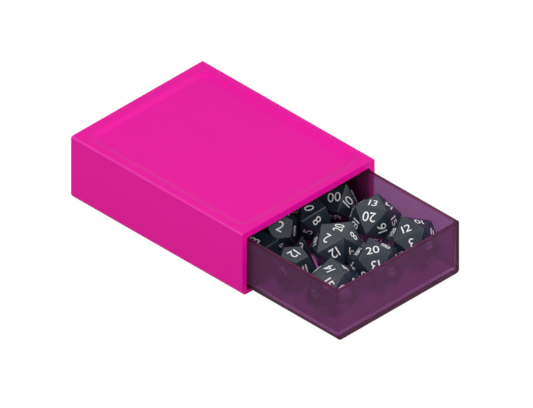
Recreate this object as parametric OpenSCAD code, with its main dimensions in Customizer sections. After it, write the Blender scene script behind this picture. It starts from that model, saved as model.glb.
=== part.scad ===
// Dice storage chest: a moulded sleeve with a tinted drawer that slides out of its
// open front, and the polyhedral dice that lie in the drawer.
// Millimetres. X is the width, -Y is the open front, +Z is up. The origin is the
// middle of the sleeve's underside. The drawer is drawn pulled out by drawer_pull.

/* [Drawer room] */
// Width of the room inside the drawer, at its floor: three of the largest dice abreast
room_w = 71.4; // [71.4:0.2:100]
// Length of the room inside the drawer, front to back
room_l = 98; // [90:1:140]
// Height of the room inside the drawer, from its floor to its rim
room_h = 24.3; // [24.1:0.2:45]

/* [Drawer shell] */
// Thickness of the drawer's walls at their rim
drawer_rim_t = 1.5; // [1:0.1:1.8]
// Thickness of the drawer's walls at the floor, where the draft of the mould ends
drawer_root_t = 2; // [1.8:0.1:3]
// Thickness of the drawer's floor
drawer_floor_t = 2.4; // [1.6:0.1:4]
// Radius of the drawer's four upright corners
drawer_corner_r = 0.8; // [0.4:0.1:2]
// Radius of the two long edges under the drawer
drawer_keel_r = 2.4; // [0.5:0.1:4]
// Radius inside the drawer, where its walls meet its floor
drawer_cove_r = 1.2; // [0.4:0.1:2]

/* [Sleeve shell] */
// Thickness of the sleeve's two side walls
side_t = 3; // [2:0.1:5]
// Thickness of the sleeve's roof at its rim
roof_t = 3.5; // [2.6:0.1:6]
// Thickness of the sleeve's floor
base_t = 1.8; // [1.2:0.1:4]
// Thickness of the sleeve's closed back
back_t = 3; // [2:0.1:6]
// Radius of the two long edges beside the sleeve's roof
sleeve_top_r = 1.2; // [0.5:0.1:3]
// Radius of the two long edges under the sleeve
sleeve_keel_r = 3; // [0.5:0.1:5]
// Radius of the sleeve's four long inner corners
sleeve_inner_r = 1; // [0.2:0.1:1.1]
// Diameter of the hole in the back, through which a finger pushes the drawer out
push_hole_d = 18; // [12:1:22]

/* [Top panel] */
// Depth of the sunk panel below the roof's rim
panel_depth = 1.4; // [0.4:0.1:1.9]
// Width of the flat rim along the two long sides
rim_side_w = 3.6; // [3:0.1:10]
// Width of the flat rim along the open front
rim_front_w = 2.8; // [1.5:0.1:10]
// Width of the flat rim along the closed back
rim_back_w = 4; // [1.5:0.1:10]
// Width of the soft slope between the rim and the panel
slope_w = 4.3; // [1.5:0.1:7]
// Corner radius of the sunk panel, along the foot of the rim
panel_corner_r = 8; // [7.2:0.1:16]

/* [Fits] */
// Gap on each side between the drawer and the sleeve
slide_gap = 0.3; // [0.1:0.05:0.8]
// Gap under the drawer, between it and the sleeve's floor
seat_gap = 0.25; // [0.1:0.05:0.6]
// Gap over the drawer's rim, under the sleeve's roof
roof_gap = 0.9; // [0.3:0.1:2]
// Gap behind the closed drawer
back_gap = 0.8; // [0.2:0.1:3]
// Gap between a die and the drawer's floor
rest_gap = 0.05; // [0:0.01:0.3]
// Gap between a die and the drawer's walls
wall_gap = 0.25; // [0.1:0.05:1]
// How far the drawer is pulled out of the sleeve
drawer_pull = 55.8; // [0:0.2:98]

/* [Dice] */
// Twenty-sided dice, size across opposite faces
d20_across = 21; // [15:0.25:21.25]
// Twelve-sided dice, size across opposite faces
d12_across = 17; // [13:0.25:17]
// Ten-sided dice, size from tip to tip
d10_tips = 21; // [16:0.25:21]
// Eight-sided die, length of an edge
d8_edge = 15; // [12:0.5:16]
// Six-sided die, length of an edge
d6_edge = 15.2; // [12:0.2:15.4]
// Four-sided die, length of an edge
d4_edge = 18; // [14:0.5:18.5]

/* [Hidden] */

// Drawer, outside
drawer_w = room_w + 2 * drawer_root_t;
drawer_l = room_l + 2 * drawer_root_t;
drawer_h = room_h + drawer_floor_t;
rim_spread = drawer_root_t - drawer_rim_t;

// Sleeve, inside and outside
bay_w = drawer_w + 2 * slide_gap;
bay_l = drawer_l + back_gap;
bay_h = drawer_h + seat_gap + roof_gap;
sleeve_w = bay_w + 2 * side_t;
sleeve_l = bay_l + back_t;
sleeve_h = bay_h + base_t + roof_t;
front_y = -sleeve_l / 2;

// Where the drawer stands, and the room in it
drawer_front_y = front_y - drawer_pull;
drawer_z = base_t + seat_gap;
room_z = drawer_z + drawer_floor_t;
room_front_y = drawer_front_y + drawer_root_t;

cut = 1;            // how far a cutting solid runs past what it cuts
slope_steps = 10;   // flats across the soft slope round the panel
cove_steps = 6;     // flats across the cove inside the drawer
golden = (1 + sqrt(5)) / 2;

sleeve_colour = "#e3229a";
drawer_colour = "#7c4268";
dice_colour = "#2a3038";

// ---- Profiles -------------------------------------------------------------

// A rectangle with its corners rounded, the lower two and the upper two by their own radius
module rounded_rect(w, h, low_r, top_r) {
  union() {
    translate([-w / 2 + low_r, 0]) square([w - 2 * low_r, h / 2]);
    translate([-w / 2, low_r]) square([w, h - low_r - top_r]);
    translate([-w / 2 + top_r, h / 2]) square([w - 2 * top_r, h / 2]);
    for (side = [-1, 1]) {
      translate([side * (w / 2 - low_r), low_r]) circle(low_r, $fn = 64);
      if (top_r > 0)
        translate([side * (w / 2 - top_r), h - top_r]) circle(top_r, $fn = 64);
    }
  }
}

// Draws a front view (X and Z) as a solid that runs along Y
module along_y(length) {
  translate([0, length, 0]) rotate([90, 0, 0]) linear_extrude(length) children();
}

// Half of the room's section: a drafted wall that turns into the floor with a cove
function room_half(half_w, h, spread, r) = concat(
  [for (i = [0:cove_steps]) let (a = -90 + 90 * i / cove_steps)
    [half_w - r + r * cos(a), r + r * sin(a)]],
  [[half_w + spread, h], [half_w + spread, h + cut]]
);
function mirrored(points) = [for (i = [len(points) - 1:-1:0]) [-points[i].x, points[i].y]];
module room_section(width, h, spread, r) {
  right = room_half(width / 2, h, spread, r);
  polygon(concat(right, mirrored(right)));
}

// ---- Sleeve ---------------------------------------------------------------

// Section of the sunk panel from a corner's centre outward: flat, soft slope, rim
function eased(t) = (1 - cos(180 * t)) / 2;
panel_section = concat(
  [[0, -panel_depth]],
  [for (i = [0:slope_steps]) let (t = i / slope_steps)
    [panel_corner_r - slope_w * (1 - t), -panel_depth * (1 - eased(t))]],
  [[panel_corner_r, cut], [0, cut]]
);

// The solid that sinks the panel: its section swept round a rounded rectangle
module sunk_panel(w, l) {
  core_w = w - 2 * panel_corner_r;
  core_l = l - 2 * panel_corner_r;
  union() {
    translate([-core_w / 2, -core_l / 2, -panel_depth])
      cube([core_w, core_l, panel_depth + cut]);
    for (end = [0, 1]) rotate([0, 0, 180 * end]) {
      translate([core_w / 2, core_l / 2, 0])
        rotate([90, 0, 0]) linear_extrude(core_l) polygon(panel_section);
      translate([-core_w / 2, core_l / 2, 0])
        rotate([90, 0, 90]) linear_extrude(core_w) polygon(panel_section);
      translate([core_w / 2, core_l / 2, 0])
        rotate_extrude(angle = 90, $fn = 64) polygon(panel_section);
      translate([-core_w / 2, core_l / 2, 0])
        rotate([0, 0, 90]) rotate_extrude(angle = 90, $fn = 64) polygon(panel_section);
    }
  }
}

module sleeve() {
  panel_w = sleeve_w - 2 * rim_side_w;
  panel_l = sleeve_l - rim_front_w - rim_back_w;
  color(sleeve_colour) difference() {
    translate([0, front_y, 0])
      along_y(sleeve_l) rounded_rect(sleeve_w, sleeve_h, sleeve_keel_r, sleeve_top_r);
    translate([0, front_y - cut, base_t])
      along_y(bay_l + cut) rounded_rect(bay_w, bay_h, sleeve_inner_r, sleeve_inner_r);
    translate([0, (rim_front_w - rim_back_w) / 2, sleeve_h]) sunk_panel(panel_w, panel_l);
    translate([0, -front_y + cut, base_t + bay_h / 2])
      rotate([90, 0, 0]) cylinder(h = back_t + 2 * cut, d = push_hole_d, $fn = 64);
  }
}

// ---- Drawer ---------------------------------------------------------------

module drawer() {
  color(drawer_colour, 0.6) translate([0, drawer_front_y, drawer_z]) difference() {
    intersection() {
      along_y(drawer_l) rounded_rect(drawer_w, drawer_h, drawer_keel_r, 0);
      linear_extrude(drawer_h) rounded_rect(drawer_w, drawer_l, drawer_corner_r, drawer_corner_r);
    }
    translate([0, drawer_root_t, drawer_floor_t]) intersection() {
      translate([0, -rim_spread - cut, 0]) along_y(room_l + 2 * (rim_spread + cut))
        room_section(room_w, room_h, rim_spread, drawer_cove_r);
      translate([-room_w / 2 - rim_spread - cut, room_l / 2, 0]) rotate([90, 0, 90])
        linear_extrude(room_w + 2 * (rim_spread + cut))
          room_section(room_l, room_h, rim_spread, drawer_cove_r);
    }
  }
}

// ---- Dice -----------------------------------------------------------------
// Each kind has its corners, for a die of circumradius 1. The kinds that are sized or
// made by their faces also have the directions of these, one for each opposite pair.

function unit(v) = v / norm(v);
function turned(v) = [v, [v.y, v.z, v.x], [v.z, v.x, v.y]];
function turned_all(list) = [for (v = list) each turned(v)];
function both_ways(list) = [for (v = list) each [v, -v]];

cube_axes = [[1, 0, 0], [0, 1, 0], [0, 0, 1]];
cube_diagonals = [[1, 1, 1], [1, 1, -1], [1, -1, 1], [-1, 1, 1]];
ico_axes = turned_all([[0, 1, golden], [0, 1, -golden]]);
dodeca_axes = concat(cube_diagonals, turned_all([[1 / golden, 0, golden], [-1 / golden, 0, golden]]));

// The ring of a ten-sided die zigzags just enough to keep its kite faces flat
d10_zigzag = (1 - cos(36)) / (1 + cos(36));
d10_tip_corners = [[0, 0, 1], [0, 0, -1]];
d10_corners = concat(d10_tip_corners,
  [for (i = [0:9]) [cos(36 * i), sin(36 * i), (i % 2 == 0 ? 1 : -1) * d10_zigzag]]);
// Its kites: each runs from a tip to the ring corner that zigzags away from that tip
d10_kites = [for (i = [0:9]) let (
    first = len(d10_tip_corners),
    before = first + (i + 9) % 10,
    after = first + (i + 1) % 10)
  i % 2 == 0 ? [1, before, first + i, after] : [0, after, first + i, before]];
d4_corners = [[1, 1, 1], [1, -1, -1], [-1, 1, -1], [-1, -1, 1]];

function face_axes(kind) =
  kind == 20 ? dodeca_axes :
  kind == 12 ? ico_axes : cube_axes;
function corners(kind) =
  kind == 20 ? [for (v = both_ways(ico_axes)) unit(v)] :
  kind == 12 ? [for (v = both_ways(dodeca_axes)) unit(v)] :
  kind == 10 ? d10_corners :
  kind == 8 ? both_ways(cube_axes) :
  kind == 6 ? [for (v = both_ways(cube_diagonals)) unit(v)] :
  [for (v = d4_corners) unit(v)];

// Share of the circumradius from the middle of a die to its faces
function face_reach(kind) = max([for (c = corners(kind)) c * unit(face_axes(kind)[0])]);
function radius(kind) =
  kind == 20 ? d20_across / 2 / face_reach(20) :
  kind == 12 ? d12_across / 2 / face_reach(12) :
  kind == 10 ? d10_tips / 2 :
  kind == 8 ? d8_edge / sqrt(2) :
  kind == 6 ? d6_edge * sqrt(3) / 2 : d4_edge * sqrt(6) / 4;

function spin_x(v, a) = [v.x, v.y * cos(a) - v.z * sin(a), v.y * sin(a) + v.z * cos(a)];
function spin_y(v, a) = [v.x * cos(a) + v.z * sin(a), v.y, v.z * cos(a) - v.x * sin(a)];
function spin_z(v, a) = [v.x * cos(a) - v.y * sin(a), v.x * sin(a) + v.y * cos(a), v.z];
function spun(v, turn) = spin_z(spin_y(spin_x(v, turn.x), turn.y), turn.z);

// How far a die reaches from its middle along a direction
function reach(die, way) = radius(die[0]) * max([for (c = corners(die[0])) spun(c, die[1]) * way]);

// The faces of a die with three-cornered faces: every three corners an edge apart
function triangles(c) = let (
    last = len(c) - 1,
    edge = min([for (i = [1:last]) norm(c[i] - c[0])]),
    near = function (i, j) norm(c[i] - c[j]) < 1.01 * edge,
    inward = function (i, j, k) cross(c[j] - c[i], c[k] - c[i]) * c[i] < 0)
  [for (i = [0:last - 2], j = [i + 1:last - 1], k = [j + 1:last])
    if (near(i, j) && near(j, k) && near(k, i)) inward(i, j, k) ? [i, j, k] : [k, j, i]];

// A solid with the given number of faces. Those with six or twelve are what lies
// between their pairs of opposite faces. The others are made from their corners, so
// that a tip where four or five faces meet is one sharp point.
module polyhedral(kind) {
  if (kind == 10)
    polyhedron(radius(10) * d10_corners, d10_kites);
  else if (kind == 4 || kind == 8 || kind == 20)
    polyhedron(radius(kind) * corners(kind), triangles(corners(kind)));
  else
    intersection_for (v = face_axes(kind))
      rotate([0, acos(unit(v).z), atan2(v.y, v.x)])
        cube([3 * radius(kind), 3 * radius(kind), 2 * radius(kind) * face_reach(kind)], center = true);
}

// Draws a die in its turn, with its lowest corner or face on the drawer's floor
module resting(die, x, y) {
  color(dice_colour)
    translate([x, y, room_z + rest_gap + reach(die, [0, 0, -1])])
      rotate(die[1]) polyhedral(die[0]);
}

// Each die has its number of faces and its turn about X, Y and Z, as it was dropped in
front_left = [20, [-116, -7, 10]];
front_middle = [20, [-113, -12, 24]];
front_right = [20, [-123, 17, -34]];
middle = [20, [-113, 4, -31]];
right = [20, [-111, 0, 0]];
left = [12, [-145, 0, -1]];
inner = [12, [-10, 24, 178]];
tens = [10, [-16, -6, -141]];
units = [10, [61, 28, -77]];
eight = [8, [45, -35.26, 20]];
six = [6, [0, 0, 4]];
four = [4, [45, -35.26, -90]];

// A die against a wall of the drawer
function at_right(die) = room_w / 2 - wall_gap - reach(die, [1, 0, 0]);
function at_left(die) = -room_w / 2 + wall_gap + reach(die, [-1, 0, 0]);
function at_front(die) = room_front_y + wall_gap + reach(die, [0, -1, 0]);
// A die behind or to the right of another. Where their slopes pass each other, the
// second reaches past the first by its tuck.
function behind(y, first, second, tuck) =
  y + reach(first, [0, 1, 0]) + reach(second, [0, -1, 0]) - tuck;
function right_of(x, first, second, tuck) =
  x + reach(first, [1, 0, 0]) + reach(second, [-1, 0, 0]) - tuck;

// Front row, with the slack that each die keeps from the front wall
front_left_y = at_front(front_left) + 2;
front_middle_y = at_front(front_middle) + 0.6;
front_right_y = at_front(front_right) + 1.8;
// Second row, behind the first
middle_x = -0.8;
middle_y = behind(front_middle_y, front_middle, middle, 0.5);
right_y = behind(front_right_y, front_right, right, -0.1);
left_x = at_left(left) + 1.5;
left_y = behind(front_left_y, front_left, left, -1);
// Back row, partly under the roof
six_x = at_left(six) + drawer_cove_r - wall_gap;
six_y = behind(left_y, left, six, -2.6);
four_x = -8.8;
four_y = behind(middle_y, middle, four, 8);
inner_x = right_of(six_x, six, inner, 0.6);
inner_y = behind(four_y, four, inner, 0.2);
units_x = right_of(inner_x, inner, units, 0.4);
units_y = behind(middle_y, middle, units, -6);
tens_y = behind(right_y, right, tens, 1.2);
eight_x = 8.5;
eight_y = behind(units_y, units, eight, 0.3);

sleeve();
drawer();
resting(front_left, at_left(front_left), front_left_y);  // d20_front_left
resting(front_middle, 0, front_middle_y);  // d20_front_middle
resting(front_right, at_right(front_right), front_right_y);  // d20_front_right
resting(middle, middle_x, middle_y);  // d20_middle
resting(right, at_right(right), right_y);  // d20_right
resting(left, left_x, left_y);  // d12_left
resting(inner, inner_x, inner_y);  // d12_inner
resting(tens, at_right(tens), tens_y);  // d10_tens
resting(units, units_x, units_y);  // d10_units
resting(eight, eight_x, eight_y);  // d8_back
resting(six, six_x, six_y);  // d6_left
resting(four, four_x, four_y);  // d4_middle
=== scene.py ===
"""Dice storage chest: the looks of its sleeve, its see-through drawer and its dice.

The shapes of the sleeve, the drawer and the dice are the CAD model's own. This script
softens their edges, gives them their materials, adds the painted numerals of the dice,
and sets up the studio. Lengths are in metres, in the frame of the CAD model.
"""

import math

import bmesh
import bpy
from mathutils import Matrix, Vector


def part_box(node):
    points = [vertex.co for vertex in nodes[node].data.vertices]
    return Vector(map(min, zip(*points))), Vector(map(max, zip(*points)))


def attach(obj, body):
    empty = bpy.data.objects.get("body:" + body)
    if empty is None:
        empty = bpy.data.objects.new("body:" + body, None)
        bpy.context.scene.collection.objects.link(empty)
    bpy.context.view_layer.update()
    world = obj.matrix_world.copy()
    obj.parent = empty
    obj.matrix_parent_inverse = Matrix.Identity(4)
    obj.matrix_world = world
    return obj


MM = 0.001
WHITE = (1, 1, 1, 1)

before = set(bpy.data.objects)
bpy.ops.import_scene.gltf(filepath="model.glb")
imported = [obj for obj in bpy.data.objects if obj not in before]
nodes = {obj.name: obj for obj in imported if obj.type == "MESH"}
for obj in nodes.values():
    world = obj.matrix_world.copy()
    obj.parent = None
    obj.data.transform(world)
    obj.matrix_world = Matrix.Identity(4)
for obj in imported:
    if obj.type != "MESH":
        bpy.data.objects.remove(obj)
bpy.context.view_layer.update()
DICE = [name for name in nodes if name not in ("sleeve", "drawer")]
SLEEVE_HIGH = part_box("sleeve")[1]
DRAWER_LOW, DRAWER_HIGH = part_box("drawer")

# ---- The photograph ---------------------------------------------------------

# It has no perspective, and looks down on the chest from in front and from its left
PHOTO_SIZE = (533, 408)
PIXELS_PER_MM = 2.29
VIEW_TURN = math.radians(-45)
VIEW_TILT = math.radians(35.03)
CAMERA_DISTANCE = 0.6
# Where the middle of the photograph lies from the frame's origin, across and up the picture
PHOTO_MIDDLE = (19.06 * MM, 2.40 * MM)

to_camera = Vector((
    math.sin(VIEW_TURN) * math.cos(VIEW_TILT),
    -math.cos(VIEW_TURN) * math.cos(VIEW_TILT),
    math.sin(VIEW_TILT),
))
picture_right = Vector((0, 0, 1)).cross(to_camera).normalized()
picture_up = to_camera.cross(picture_right)
looked_at = picture_right * PHOTO_MIDDLE[0] + picture_up * PHOTO_MIDDLE[1]


def photo_pixel(point):
    """The pixel of the photograph that shows a point of the frame."""
    across = (point - looked_at).dot(picture_right) / MM * PIXELS_PER_MM
    up = (point - looked_at).dot(picture_up) / MM * PIXELS_PER_MM
    return Vector(((PHOTO_SIZE[0] - 1) / 2 + across, (PHOTO_SIZE[1] - 1) / 2 - up))


def photo_angle(direction):
    """How a direction lies in the photograph, in degrees anticlockwise from the right."""
    return math.degrees(math.atan2(direction.dot(picture_up), direction.dot(picture_right)))


# ---- What the materials are built from --------------------------------------

# Most values of a noise lie between these two
NOISE_SPAN = (0.3, 0.7)


def new_material(name):
    """A material with nodes, its node tree and its Principled shader."""
    material = bpy.data.materials.new(name)
    material.use_nodes = True
    tree = material.node_tree
    return material, tree, tree.nodes["Principled BSDF"]


def feed(tree, node, inputs):
    """Sets inputs of a node, by name or number, to values or to what other nodes put out."""
    for name, value in inputs.items():
        if isinstance(value, bpy.types.NodeSocket):
            tree.links.new(value, node.inputs[name])
        else:
            node.inputs[name].default_value = value


def calculated(tree, operation, *values):
    """The result of a Math node for one or two values."""
    node = tree.nodes.new("ShaderNodeMath")
    node.operation = operation
    feed(tree, node, dict(enumerate(values)))
    return node.outputs[0]


def step(tree, value, start, end):
    """Goes from 0 where a value is at start to 1 where it is at end, and is level beyond."""
    node = tree.nodes.new("ShaderNodeMapRange")
    feed(tree, node, {"Value": value, "From Min": start, "From Max": end})
    return node.outputs[0]


def mixed_colour(tree, share, a, b, blend="MIX"):
    """Colour a, blended with colour b by a share."""
    node = tree.nodes.new("ShaderNodeMix")
    node.data_type = "RGBA"
    node.blend_type = blend
    feed(tree, node, {"Factor": share, "A": a, "B": b})
    return node.outputs["Result"]


def tinted(tree, colour, painted_shading):
    """A colour multiplied by a tint."""
    return mixed_colour(tree, 1.0, colour, painted_shading, blend="MULTIPLY")


def mixed_shader(tree, share, a, b):
    """Shader a where the share is 0, and shader b where it is 1."""
    node = tree.nodes.new("ShaderNodeMixShader")
    feed(tree, node, {0: share, 1: a, 2: b})
    return node.outputs[0]


def noise(tree, size, detail=4.0):
    """Noise over the object's own coordinates, with features about this size."""
    place = tree.nodes.new("ShaderNodeTexCoord")
    node = tree.nodes.new("ShaderNodeTexNoise")
    feed(tree, node, {"Vector": place.outputs["Object"], "Scale": 1 / size, "Detail": detail})
    return node.outputs["Fac"]


def colours_at(tree, share, stops):
    """The colour that a list of places and colours gives for a share."""
    node = tree.nodes.new("ShaderNodeValToRGB")
    ends = node.color_ramp.elements
    for end, (place, colour) in zip(ends, (stops[0], stops[-1])):
        end.position = place
        end.color = colour
    for place, colour in stops[1:-1]:
        ends.new(place).color = colour
    feed(tree, node, {"Fac": share})
    return node.outputs["Color"]


def spread(tree, texture, low, high):
    """A range of colours or grey levels, spread over the values of a noise."""
    ends = [(*end, 1) if isinstance(end, tuple) else (end, end, end, 1) for end in (low, high)]
    return colours_at(tree, texture, list(zip(NOISE_SPAN, ends)))


def bump(tree, texture, height):
    """The way the surface faces where a noise lifts it by up to this height."""
    node = tree.nodes.new("ShaderNodeBump")
    feed(tree, node, {"Strength": 1.0, "Distance": height, "Height": texture})
    return node.outputs["Normal"]


def place_and_facing(tree):
    """Where a point of the surface lies and the way it faces, each as its three parts."""
    place = tree.nodes.new("ShaderNodeTexCoord")
    at = tree.nodes.new("ShaderNodeSeparateXYZ")
    facing = tree.nodes.new("ShaderNodeSeparateXYZ")
    feed(tree, at, {"Vector": place.outputs["Object"]})
    feed(tree, facing, {"Vector": place.outputs["Normal"]})
    return at.outputs, facing.outputs


# ---- The sleeve's plastic ---------------------------------------------------

SLEEVE_MAGENTA = ((0.780, 0.0006, 0.322), (0.800, 0.0010, 0.332))
# Painted highlight: the pale line along the rounded edges beside the roof
HIGHLIGHT_MAGENTA = (0.80, 0.040, 0.37, 1)
# These rounded edges begin here, on either side of the middle
ROUNDED_X = (SLEEVE_HIGH.x - 1.5 * MM, SLEEVE_HIGH.x - 1.3 * MM)
# How far their middle faces sideways, times how far up, which is 0.5 at 45 degrees
SLANTED = (0.25, 0.48)


def rubbed_edges(tree):
    """1 along the middle of the rounded edges beside the roof, where the highlight is painted,
    and 0 elsewhere.
    """
    at, facing = place_and_facing(tree)
    beside = step(tree, calculated(tree, "ABSOLUTE", at["X"]), *ROUNDED_X)
    sideways = calculated(tree, "ABSOLUTE", facing["X"])
    slanted = step(tree, calculated(tree, "MULTIPLY", sideways, facing["Z"]), *SLANTED)
    return calculated(tree, "MULTIPLY", beside, slanted)


def sleeve_plastic():
    """Satin magenta moulding with the fine grain of a spark-eroded mould, and a painted
    highlight along the rounded edges beside the roof.
    """
    material, tree, shader = new_material("sleeve_plastic")
    magenta = spread(tree, noise(tree, size=18 * MM), *SLEEVE_MAGENTA)
    grain = noise(tree, size=0.45 * MM, detail=2.0)
    feed(tree, shader, {
        # The base colour carries the painted highlight along the rounded edges beside the roof
        "Base Color": mixed_colour(tree, rubbed_edges(tree), magenta, HIGHLIGHT_MAGENTA),
        "Roughness": spread(tree, grain, 0.44, 0.54),
        "Specular IOR Level": 0.15,
        "Normal": bump(tree, grain, height=0.006 * MM),
    })
    return material


# ---- The drawer's plastic ---------------------------------------------------

CLEAR_PURPLE = ((0.190, 0.080, 0.195), (0.215, 0.090, 0.220))
MILKY_PURPLE = ((0.50, 0.14, 0.39), (0.56, 0.155, 0.44))
# Share of the light that the plastic scatters, and what a wall passes of a lamp's light
MILKINESS = 0.095
LAMP_TINT = (0.90, 0.78, 0.87, 1)

# Painted shade at its upright walls' dark foot and along its rim, and painted light on its
# floor, which is seen against the light that comes up through it
PAINTED_FOOT_SHADE = (0.20, 0.12, 0.11, 1)
PAINTED_RIM_SHADE = (0.66, 0.30, 0.36, 1)
PAINTED_FLOOR_LIGHT = (1.55, 0.85, 1.40, 1)
# Where they end or begin, as shares of the drawer's height, and how fast they change
FOOT_TOP = 0.12
FLOOR_TOP = 0.15
RIM_FOOT = 0.975
SHADING_BLEND = 0.01
# How far up a surface faces where the painted shade of the walls gives way to the painted light
# of the floor
LEVEL = (0.6, 0.9)
# Where the upright corner at the front's right end begins, which has the foot's painted shade
# too
SHADED_CORNER_X = (DRAWER_HIGH.x - 3.0 * MM, DRAWER_HIGH.x - 2.6 * MM)
SHADED_CORNER_Y = (DRAWER_LOW.y + 2.6 * MM, DRAWER_LOW.y + 2.2 * MM)


def edge_tint(tree):
    """Paints shade on the drawer's foot, rim and right front corner, and paints light on its
    floor.
    """
    at, facing = place_and_facing(tree)
    height = step(tree, at["Z"], DRAWER_LOW.z, DRAWER_HIGH.z)
    # Painted shade at the foot and rim, and painted light on the floor, by height
    foot = [(FOOT_TOP - SHADING_BLEND, PAINTED_FOOT_SHADE), (FOOT_TOP, WHITE)]
    floor = [(FOOT_TOP, PAINTED_FLOOR_LIGHT), (FLOOR_TOP, WHITE)]
    rim = [(RIM_FOOT, WHITE), (RIM_FOOT + SHADING_BLEND, PAINTED_RIM_SHADE)]
    upright = colours_at(tree, height, foot + rim)
    level = colours_at(tree, height, floor + rim)
    heights = mixed_colour(tree, step(tree, facing["Z"], *LEVEL), upright, level)
    # Painted shade on the upright corner at the front's right end
    right, front = step(tree, at["X"], *SHADED_CORNER_X), step(tree, at["Y"], *SHADED_CORNER_Y)
    return mixed_colour(tree, calculated(tree, "MULTIPLY", right, front), heights, PAINTED_FOOT_SHADE)


def lit_through(tree, body):
    """A shader that is seen as the body, and lets lamps shine through onto what is inside."""
    path = tree.nodes.new("ShaderNodeLightPath")
    passed = tree.nodes.new("ShaderNodeBsdfTransparent")
    feed(tree, passed, {"Color": LAMP_TINT})
    return mixed_shader(tree, path.outputs["Is Shadow Ray"], body, passed.outputs[0])


def drawer_plastic():
    """Purple-tinted, slightly milky plastic, its surfaces finely frosted, with painted shade at
    its foot, rim and right front corner and painted light on its floor.
    """
    material, tree, clear = new_material("drawer_tinted_plastic")
    milky = tree.nodes.new("ShaderNodeBsdfPrincipled")
    painted_shading = edge_tint(tree)
    cloud = noise(tree, size=9 * MM)
    frost = noise(tree, size=6 * MM, detail=3.0)
    # Both base colours carry the painted shade of the drawer's edges and the painted light of
    # its floor
    feed(tree, clear, {
        "Base Color": tinted(tree, spread(tree, cloud, *CLEAR_PURPLE), painted_shading),
        "Roughness": spread(tree, frost, 0.278, 0.292),
        "Transmission Weight": 1.0,
        "IOR": 1.16,
    })
    feed(tree, milky, {
        "Base Color": tinted(tree, spread(tree, cloud, *MILKY_PURPLE), painted_shading),
        "Roughness": spread(tree, frost, 0.5, 0.6),
        "Specular IOR Level": 0.1,
    })
    body = mixed_shader(tree, MILKINESS, clear.outputs[0], milky.outputs[0])
    feed(tree, tree.nodes["Material Output"], {"Surface": lit_through(tree, body)})
    return material


# ---- The dice's plastic and paint -------------------------------------------

DICE_SLATE = ((0.0135, 0.0220, 0.0330), (0.0180, 0.0285, 0.0415))


def dice_plastic():
    """Polished dark slate plastic."""
    material, tree, shader = new_material("dice_plastic")
    haze = noise(tree, size=1.2 * MM, detail=3.0)
    feed(tree, shader, {
        "Base Color": spread(tree, noise(tree, size=4 * MM), *DICE_SLATE),
        "Roughness": spread(tree, haze, 0.16, 0.26),
        "IOR": 1.42,
        "Normal": bump(tree, haze, height=0.004 * MM),
    })
    return material


def numeral_paint():
    """Matt white paint that fills the engraved numerals."""
    material, tree, shader = new_material("numeral_paint")
    speckle = noise(tree, size=0.5 * MM)
    feed(tree, shader, {
        "Base Color": spread(tree, speckle, 0.80, 0.90),
        "Roughness": 0.6,
        "Specular IOR Level": 0.3,
        "Normal": bump(tree, speckle, height=0.01 * MM),
    })
    return material


# ---- The CAD pieces ---------------------------------------------------------

# Corners of the CAD mesh that lie closer than this are one corner
CORNER_GAP = 0.02 * MM
# Its polygons that turn from each other by less than this are joined into one
FLAT_ANGLE = math.radians(0.3)
# Edges that turn by more than this are rounded
SHARP_ANGLE = math.radians(32)
# Radius of each kind of piece's rounded edges, and the number of steps in them
SLEEVE_EDGES = (0.2 * MM, 3)
DRAWER_EDGES = (0.15 * MM, 2)
DICE_EDGES = (0.35 * MM, 3)


def soften(obj, edge_r, steps):
    """Rounds the sharp edges of a CAD piece, which its mesh leaves razor-sharp."""
    weld = obj.modifiers.new("weld", "WELD")
    weld.merge_threshold = CORNER_GAP
    flats = obj.modifiers.new("flats", "DECIMATE")
    flats.decimate_type = "DISSOLVE"
    flats.angle_limit = FLAT_ANGLE
    edges = obj.modifiers.new("edges", "BEVEL")
    edges.limit_method = "ANGLE"
    edges.angle_limit = SHARP_ANGLE
    edges.width = edge_r
    edges.segments = steps
    edges.use_clamp_overlap = True
    # A large face's own direction outweighs those of the small ones round it
    shading = obj.modifiers.new("shading", "WEIGHTED_NORMAL")
    shading.keep_sharp = False
    shading.weight = 100


def dress(name, material, edge_r, steps):
    """Gives a whole CAD piece one material, and rounds its edges."""
    obj = nodes[name]
    obj.data.materials.clear()
    obj.data.materials.append(material)
    obj.data.polygons.foreach_set("material_index", [0] * len(obj.data.polygons))
    soften(obj, edge_r, steps)


def add_object(name, data):
    """Puts a new object into the scene."""
    obj = bpy.data.objects.new(name, data)
    bpy.context.scene.collection.objects.link(obj)
    return obj


# ---- The faces of the dice --------------------------------------------------

# A polygon under this area is a sliver of the CAD mesh
SLIVER_AREA = 0.5 * MM * MM
# Polygons whose normals' dot product is over this belong to one face
SAME_FACE = 0.999
# Corners of neighbouring faces that lie closer than this are the same corner of the die
SAME_CORNER = 1 * MM


class Face:
    """A flat face of a die, and what is painted on it: a numeral, and the way its top points."""

    def __init__(self, out, corners):
        self.out = out
        self.corners = corners
        self.middle = sum(corners, Vector()) / len(corners)
        self.label = None
        self.top = None

    def towards(self, point):
        """The way from the face's middle to a point."""
        return (point - self.middle).normalized()


def kind_of(die):
    """The number of faces of a die, which its node's name starts with."""
    return int(die.split("_")[0][1:])


def faces_of(die):
    """The faces of a die, each of which may be several polygons of its mesh."""
    mesh = nodes[die].data
    found = []
    for polygon in [p for p in mesh.polygons if p.area > SLIVER_AREA]:
        for out, points in found:
            if out.dot(polygon.normal) > SAME_FACE:
                points.update(polygon.vertices)
                break
        else:
            found.append((polygon.normal.copy(), set(polygon.vertices)))
    return [
        Face(out, [mesh.vertices[i].co.copy() for i in sorted(points)])
        for out, points in found
    ]


def opposite(face, faces):
    """The face that looks the other way."""
    return min(faces, key=lambda other: other.out.dot(face.out))


def around(face):
    """The corners of a face in their order round it."""
    first = face.towards(face.corners[0])
    side = face.out.cross(first)

    def turn(corner):
        arm = corner - face.middle
        return math.atan2(arm.dot(side), arm.dot(first))

    return sorted(face.corners, key=turn)


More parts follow.
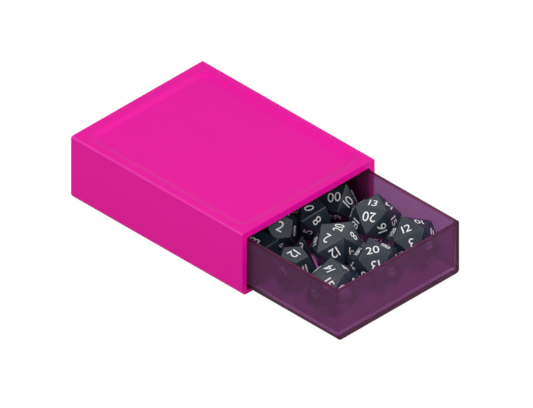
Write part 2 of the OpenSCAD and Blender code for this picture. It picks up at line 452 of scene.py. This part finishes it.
def towards_tip(face):
    """The way from the middle of a kite to its sharp tip."""
    return face.towards(max(face.corners, key=lambda corner: (corner - face.middle).length))


# ---- Numerals ---------------------------------------------------------------

# Height of the numerals on each kind of die, by its number of faces
NUMERAL_H = {20: 4.3 * MM, 12: 4.7 * MM, 10: 4.4 * MM, 8: 5.0 * MM, 6: 5.2 * MM, 4: 3.6 * MM}
# The paint's plate reaches this far out of the face, and this far into it
PAINT_PROUD = 0.03 * MM
PAINT_SUNK = 0.03 * MM
# Points of a plate that lie closer than this are one point
PAINT_GAP = 0.001 * MM
# How far from a face's middle to its corners the numerals of the four-sided die stand
CORNER_SHARE = 0.5
# The numerals of the ten-sided dice lean from the line to their kite's tip, and are moved
# towards the tip
KITE_SLANT = math.radians(43)
KITE_SHIFT = 1.2 * MM

# The numerals that the photograph shows: on each die the numeral, the pixel at the
# middle of its face, and the way its top points there, in degrees as photo_angle() gives
SEEN = {
    "d20_right": [
        ("13", (373, 202), 65), ("20", (369, 216), -101), ("16", (382, 228), -159),
        ("14", (388, 205), -118), ("15", (394, 221), 44), ("18", (355, 224), -45),
    ],
    "d20_front_right": [
        ("12", (406, 228), 111), ("10", (418, 221), -57), ("11", (432, 232), 94),
        ("3", (412, 243), -68), ("19", (393, 232), 62),
    ],
    "d20_front_middle": [
        ("20", (372, 250), 103), ("13", (375, 265), -79), ("18", (385, 246), 151),
        ("16", (358, 251), 51),
    ],
    "d20_middle": [
        ("20", (338, 227), 169), ("2", (326, 238), -125), ("8", (353, 235), -46),
        ("12", (334, 252), -58), ("18", (315, 241), -141), ("6", (351, 251), 119),
    ],
    "d20_front_left": [
        ("14", (329, 268), -158), ("15", (328, 283), 33), ("4", (344, 267), 143),
        ("9", (353, 281), 62),
    ],
    "d12_left": [("12", (293, 253), -42), ("11", (305, 270), 110)],
    "d12_inner": [("2", (281, 227), 63), ("8", (296, 234), 80)],
    "d10_tens": [("00", (331, 200), 92), ("10", (348, 206), 139)],
    "d10_units": [("8", (320, 221), -127), ("0", (310, 205), -164), ("5", (308, 234), 167)],
    "d6_left": [("3", (254, 240), 139)],
}


def tops_of(face, kind):
    """The ways that a numeral's top may point on a face of this kind of die."""
    if kind == 10:
        # To either side of the kite's tip
        turns = [Matrix.Rotation(turn, 3, face.out) for turn in (KITE_SLANT, -KITE_SLANT)]
        return [turn @ towards_tip(face) for turn in turns]
    ring = around(face)
    if kind in (6, 12):
        # To the middle of an edge, and on all other kinds to a corner
        ring = [(a + b) / 2 for a, b in zip(ring, ring[1:] + ring[:1])]
    return [face.towards(point) for point in ring]


def pairs_on(die):
    """The numerals of a die, in pairs that stand on opposite faces."""
    kind = kind_of(die)
    if kind != 10:
        return [(str(i), str(kind + 1 - i)) for i in range(1, kind // 2 + 1)]
    # A ten-sided die counts from 0 to 9, or from 00 to 90
    zero = "0" if die == "d10_tens" else ""
    return [(f"{i}{zero}", f"{9 - i}{zero}") for i in range(5)]


def turn_apart(a, b):
    """The angle between two directions, both in degrees."""
    return abs((a - b + 180) % 360 - 180)


def label_opposite(face, faces, partner, left):
    """Gives the opposite of a labelled face the numeral that pairs with it, if both are free."""
    other, label = opposite(face, faces), partner[face.label]
    if other.label is None and label in left:
        other.label = label
        left.remove(label)


def label_faces(die, faces):
    """Labels a die's faces: first as the photograph shows, then in pairs, then in turn."""
    kind = kind_of(die)
    shown = [face for face in faces if face.out.dot(to_camera) > 0]
    for label, pixel, angle in SEEN.get(die, []):
        face = min(shown, key=lambda f: (photo_pixel(f.middle) - Vector(pixel)).length)
        face.label = label
        face.top = min(tops_of(face, kind), key=lambda way: turn_apart(photo_angle(way), angle))
    partner = {a: b for pair in pairs_on(die) for a, b in (pair, pair[::-1])}
    used = {face.label for face in faces}
    left = [label for label in partner if label not in used]
    for face in [f for f in faces if f.label is not None]:
        label_opposite(face, faces, partner, left)
    for face in faces:
        if face.label is None:
            face.label = left.pop(0)
            label_opposite(face, faces, partner, left)
        if face.top is None:
            face.top = tops_of(face, kind)[0]


def numerals_of(die):
    """What is painted on a die: each numeral, its place, and the ways it looks and stands."""
    kind, faces = kind_of(die), faces_of(die)
    if kind == 4:
        return corner_numerals(faces)
    label_faces(die, faces)
    if kind == 10:
        for face in faces:
            face.middle += towards_tip(face) * KITE_SHIFT
    return [(face.label, face.middle, face.out, face.top) for face in faces]


def corner_numerals(faces):
    """A four-sided die's numerals: one for each corner, on the three faces that meet there."""
    corners = []
    painted = []
    for face in faces:
        for corner in face.corners:
            known = [i for i, seen in enumerate(corners) if (seen - corner).length < SAME_CORNER]
            if not known:
                known = [len(corners)]
                corners.append(corner)
            place = face.middle + (corner - face.middle) * CORNER_SHARE
            painted.append((str(known[0] + 1), place, face.out, face.towards(corner)))
    return painted


def numeral_plate(text, height):
    """A numeral as a thin closed plate, its middle at the origin and its top along +Y."""
    curve = bpy.data.curves.new("numeral", "FONT")
    # The dice's numeral 1 is a plain stroke, which this font has as its capital I
    curve.body = text.replace("1", "I")
    curve.extrude = (PAINT_PROUD + PAINT_SUNK) / 2
    letters = add_object("numeral", curve)
    bpy.context.view_layer.update()
    depsgraph = bpy.context.evaluated_depsgraph_get()
    mesh = bpy.data.meshes.new_from_object(letters.evaluated_get(depsgraph))
    bpy.data.objects.remove(letters)
    xs = [v.co.x for v in mesh.vertices]
    ys = [v.co.y for v in mesh.vertices]
    scale = height / (max(ys) - min(ys))
    middle = Vector((min(xs) + max(xs), min(ys) + max(ys), 0)) / 2
    mesh.transform(Matrix.Diagonal((scale, scale, 1, 1)) @ Matrix.Translation(-middle))
    return mesh


def paint_numerals(die, paint):
    """Adds all numerals of one die as one piece, which is parented to the empty of the drawer's
    body.
    """
    build = bmesh.new()
    for text, middle, out, top in numerals_of(die):
        mesh = numeral_plate(text, NUMERAL_H[kind_of(die)])
        place = Matrix((top.cross(out), top, out)).transposed().to_4x4()
        place.translation = middle + out * (PAINT_PROUD - PAINT_SUNK) / 2
        mesh.transform(place)
        build.from_mesh(mesh)
        bpy.data.meshes.remove(mesh)
    bmesh.ops.remove_doubles(build, verts=build.verts, dist=PAINT_GAP)
    mesh = bpy.data.meshes.new("numerals_" + die)
    build.to_mesh(mesh)
    build.free()
    mesh.materials.append(paint)
    piece = add_object("numerals_" + die, mesh)
    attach(piece, "drawer_body")


# ---- Studio -----------------------------------------------------------------

SKY_LIGHT = 0.46
LAMP_DISTANCE = 0.9
# Each soft box: its size, the radiance of its face, and the direction that it stands in
SOFT_BOXES = {
    "key": (0.6, 3.2, (0.10, -0.93, 0.36)),
    "fill": (0.8, 1.4, (-0.85, -0.10, 0.50)),
    "rim": (0.75, 0.9, (-0.42, 0.33, 0.85)),
    "glint": (0.3, 3.8, (0.58, -0.05, 0.81)),
}
FLOOR_SIZE = 6.0
# The floor is seen this much as lit paper, which shows shadows, and otherwise as this
# brightness, which makes the whole up to white where no shadow falls
FLOOR_SHADOW = 0.15
FLOOR_WHITE = 1.12


def seen_ray(tree):
    """1 for camera, glossy and transmission rays, which see the studio, and 0 for all others."""
    path = tree.nodes.new("ShaderNodeLightPath").outputs
    mirrored = calculated(tree, "MAXIMUM", path["Is Glossy Ray"], path["Is Transmission Ray"])
    return calculated(tree, "MAXIMUM", path["Is Camera Ray"], mirrored)


def studio_world():
    """Soft light from all sides, which is seen as a white backdrop."""
    world = bpy.data.worlds.new("studio")
    world.use_nodes = True
    tree = world.node_tree
    light = tree.nodes["Background"]
    backdrop = tree.nodes.new("ShaderNodeBackground")
    feed(tree, light, {"Color": WHITE, "Strength": SKY_LIGHT})
    feed(tree, backdrop, {"Color": WHITE, "Strength": 1.0})
    sky = mixed_shader(tree, seen_ray(tree), light.outputs[0], backdrop.outputs[0])
    feed(tree, tree.nodes["World Output"], {"Surface": sky})
    bpy.context.scene.world = world


def floor_paper():
    """Paper that is seen as white, keeps soft shadows, and throws half of its light back."""
    material, tree, paper = new_material("floor_paper")
    feed(tree, paper, {
        "Base Color": spread(tree, noise(tree, size=3 * MM), 0.48, 0.52),
        "Roughness": 0.9,
        "Specular IOR Level": 0.0,
    })
    white = tree.nodes.new("ShaderNodeEmission")
    feed(tree, white, {"Color": WHITE, "Strength": FLOOR_WHITE})
    share = calculated(tree, "MULTIPLY", seen_ray(tree), 1 - FLOOR_SHADOW)
    surface = mixed_shader(tree, share, paper.outputs[0], white.outputs[0])
    feed(tree, tree.nodes["Material Output"], {"Surface": surface})
    return material


def studio_floor():
    """The square floor that the chest stands on."""
    half = FLOOR_SIZE / 2
    corners = [(-half, -half, 0), (half, -half, 0), (half, half, 0), (-half, half, 0)]
    mesh = bpy.data.meshes.new("floor")
    mesh.from_pydata(corners, [], [(0, 1, 2, 3)])
    mesh.materials.append(floor_paper())
    floor = add_object("floor", mesh)


def look_from(obj, place, direction):
    """Puts a lamp or a camera in a place, to look against a direction."""
    obj.location = place
    obj.rotation_mode = "QUATERNION"
    obj.rotation_quaternion = direction.to_track_quat("Z", "Y")


def soft_box(name, size, radiance, direction):
    """A square lamp with this radiance over its face, which looks at the chest."""
    light = bpy.data.lights.new(name, "AREA")
    light.size = size
    # Each square metre of an evenly bright face gives off pi times its radiance
    light.energy = radiance * math.pi * size * size
    out = Vector(direction)
    look_from(add_object(name, light), out.normalized() * LAMP_DISTANCE, out)


def studio_camera():
    """The camera that sees what the photograph shows."""
    data = bpy.data.cameras.new("camera")
    data.type = "ORTHO"
    data.ortho_scale = PHOTO_SIZE[0] / PIXELS_PER_MM * MM
    camera = add_object("camera", data)
    look_from(camera, looked_at + to_camera * CAMERA_DISTANCE, to_camera)
    bpy.context.scene.camera = camera


# ---- Scene ------------------------------------------------------------------

dress("sleeve", sleeve_plastic(), *SLEEVE_EDGES)
dress("drawer", drawer_plastic(), *DRAWER_EDGES)
slate, paint = dice_plastic(), numeral_paint()
for die in DICE:
    dress(die, slate, *DICE_EDGES)
    paint_numerals(die, paint)

studio_world()
studio_floor()
for name, (size, radiance, direction) in SOFT_BOXES.items():
    soft_box(name, size, radiance, direction)
studio_camera()
bpy.context.scene.view_settings.view_transform = "Standard"
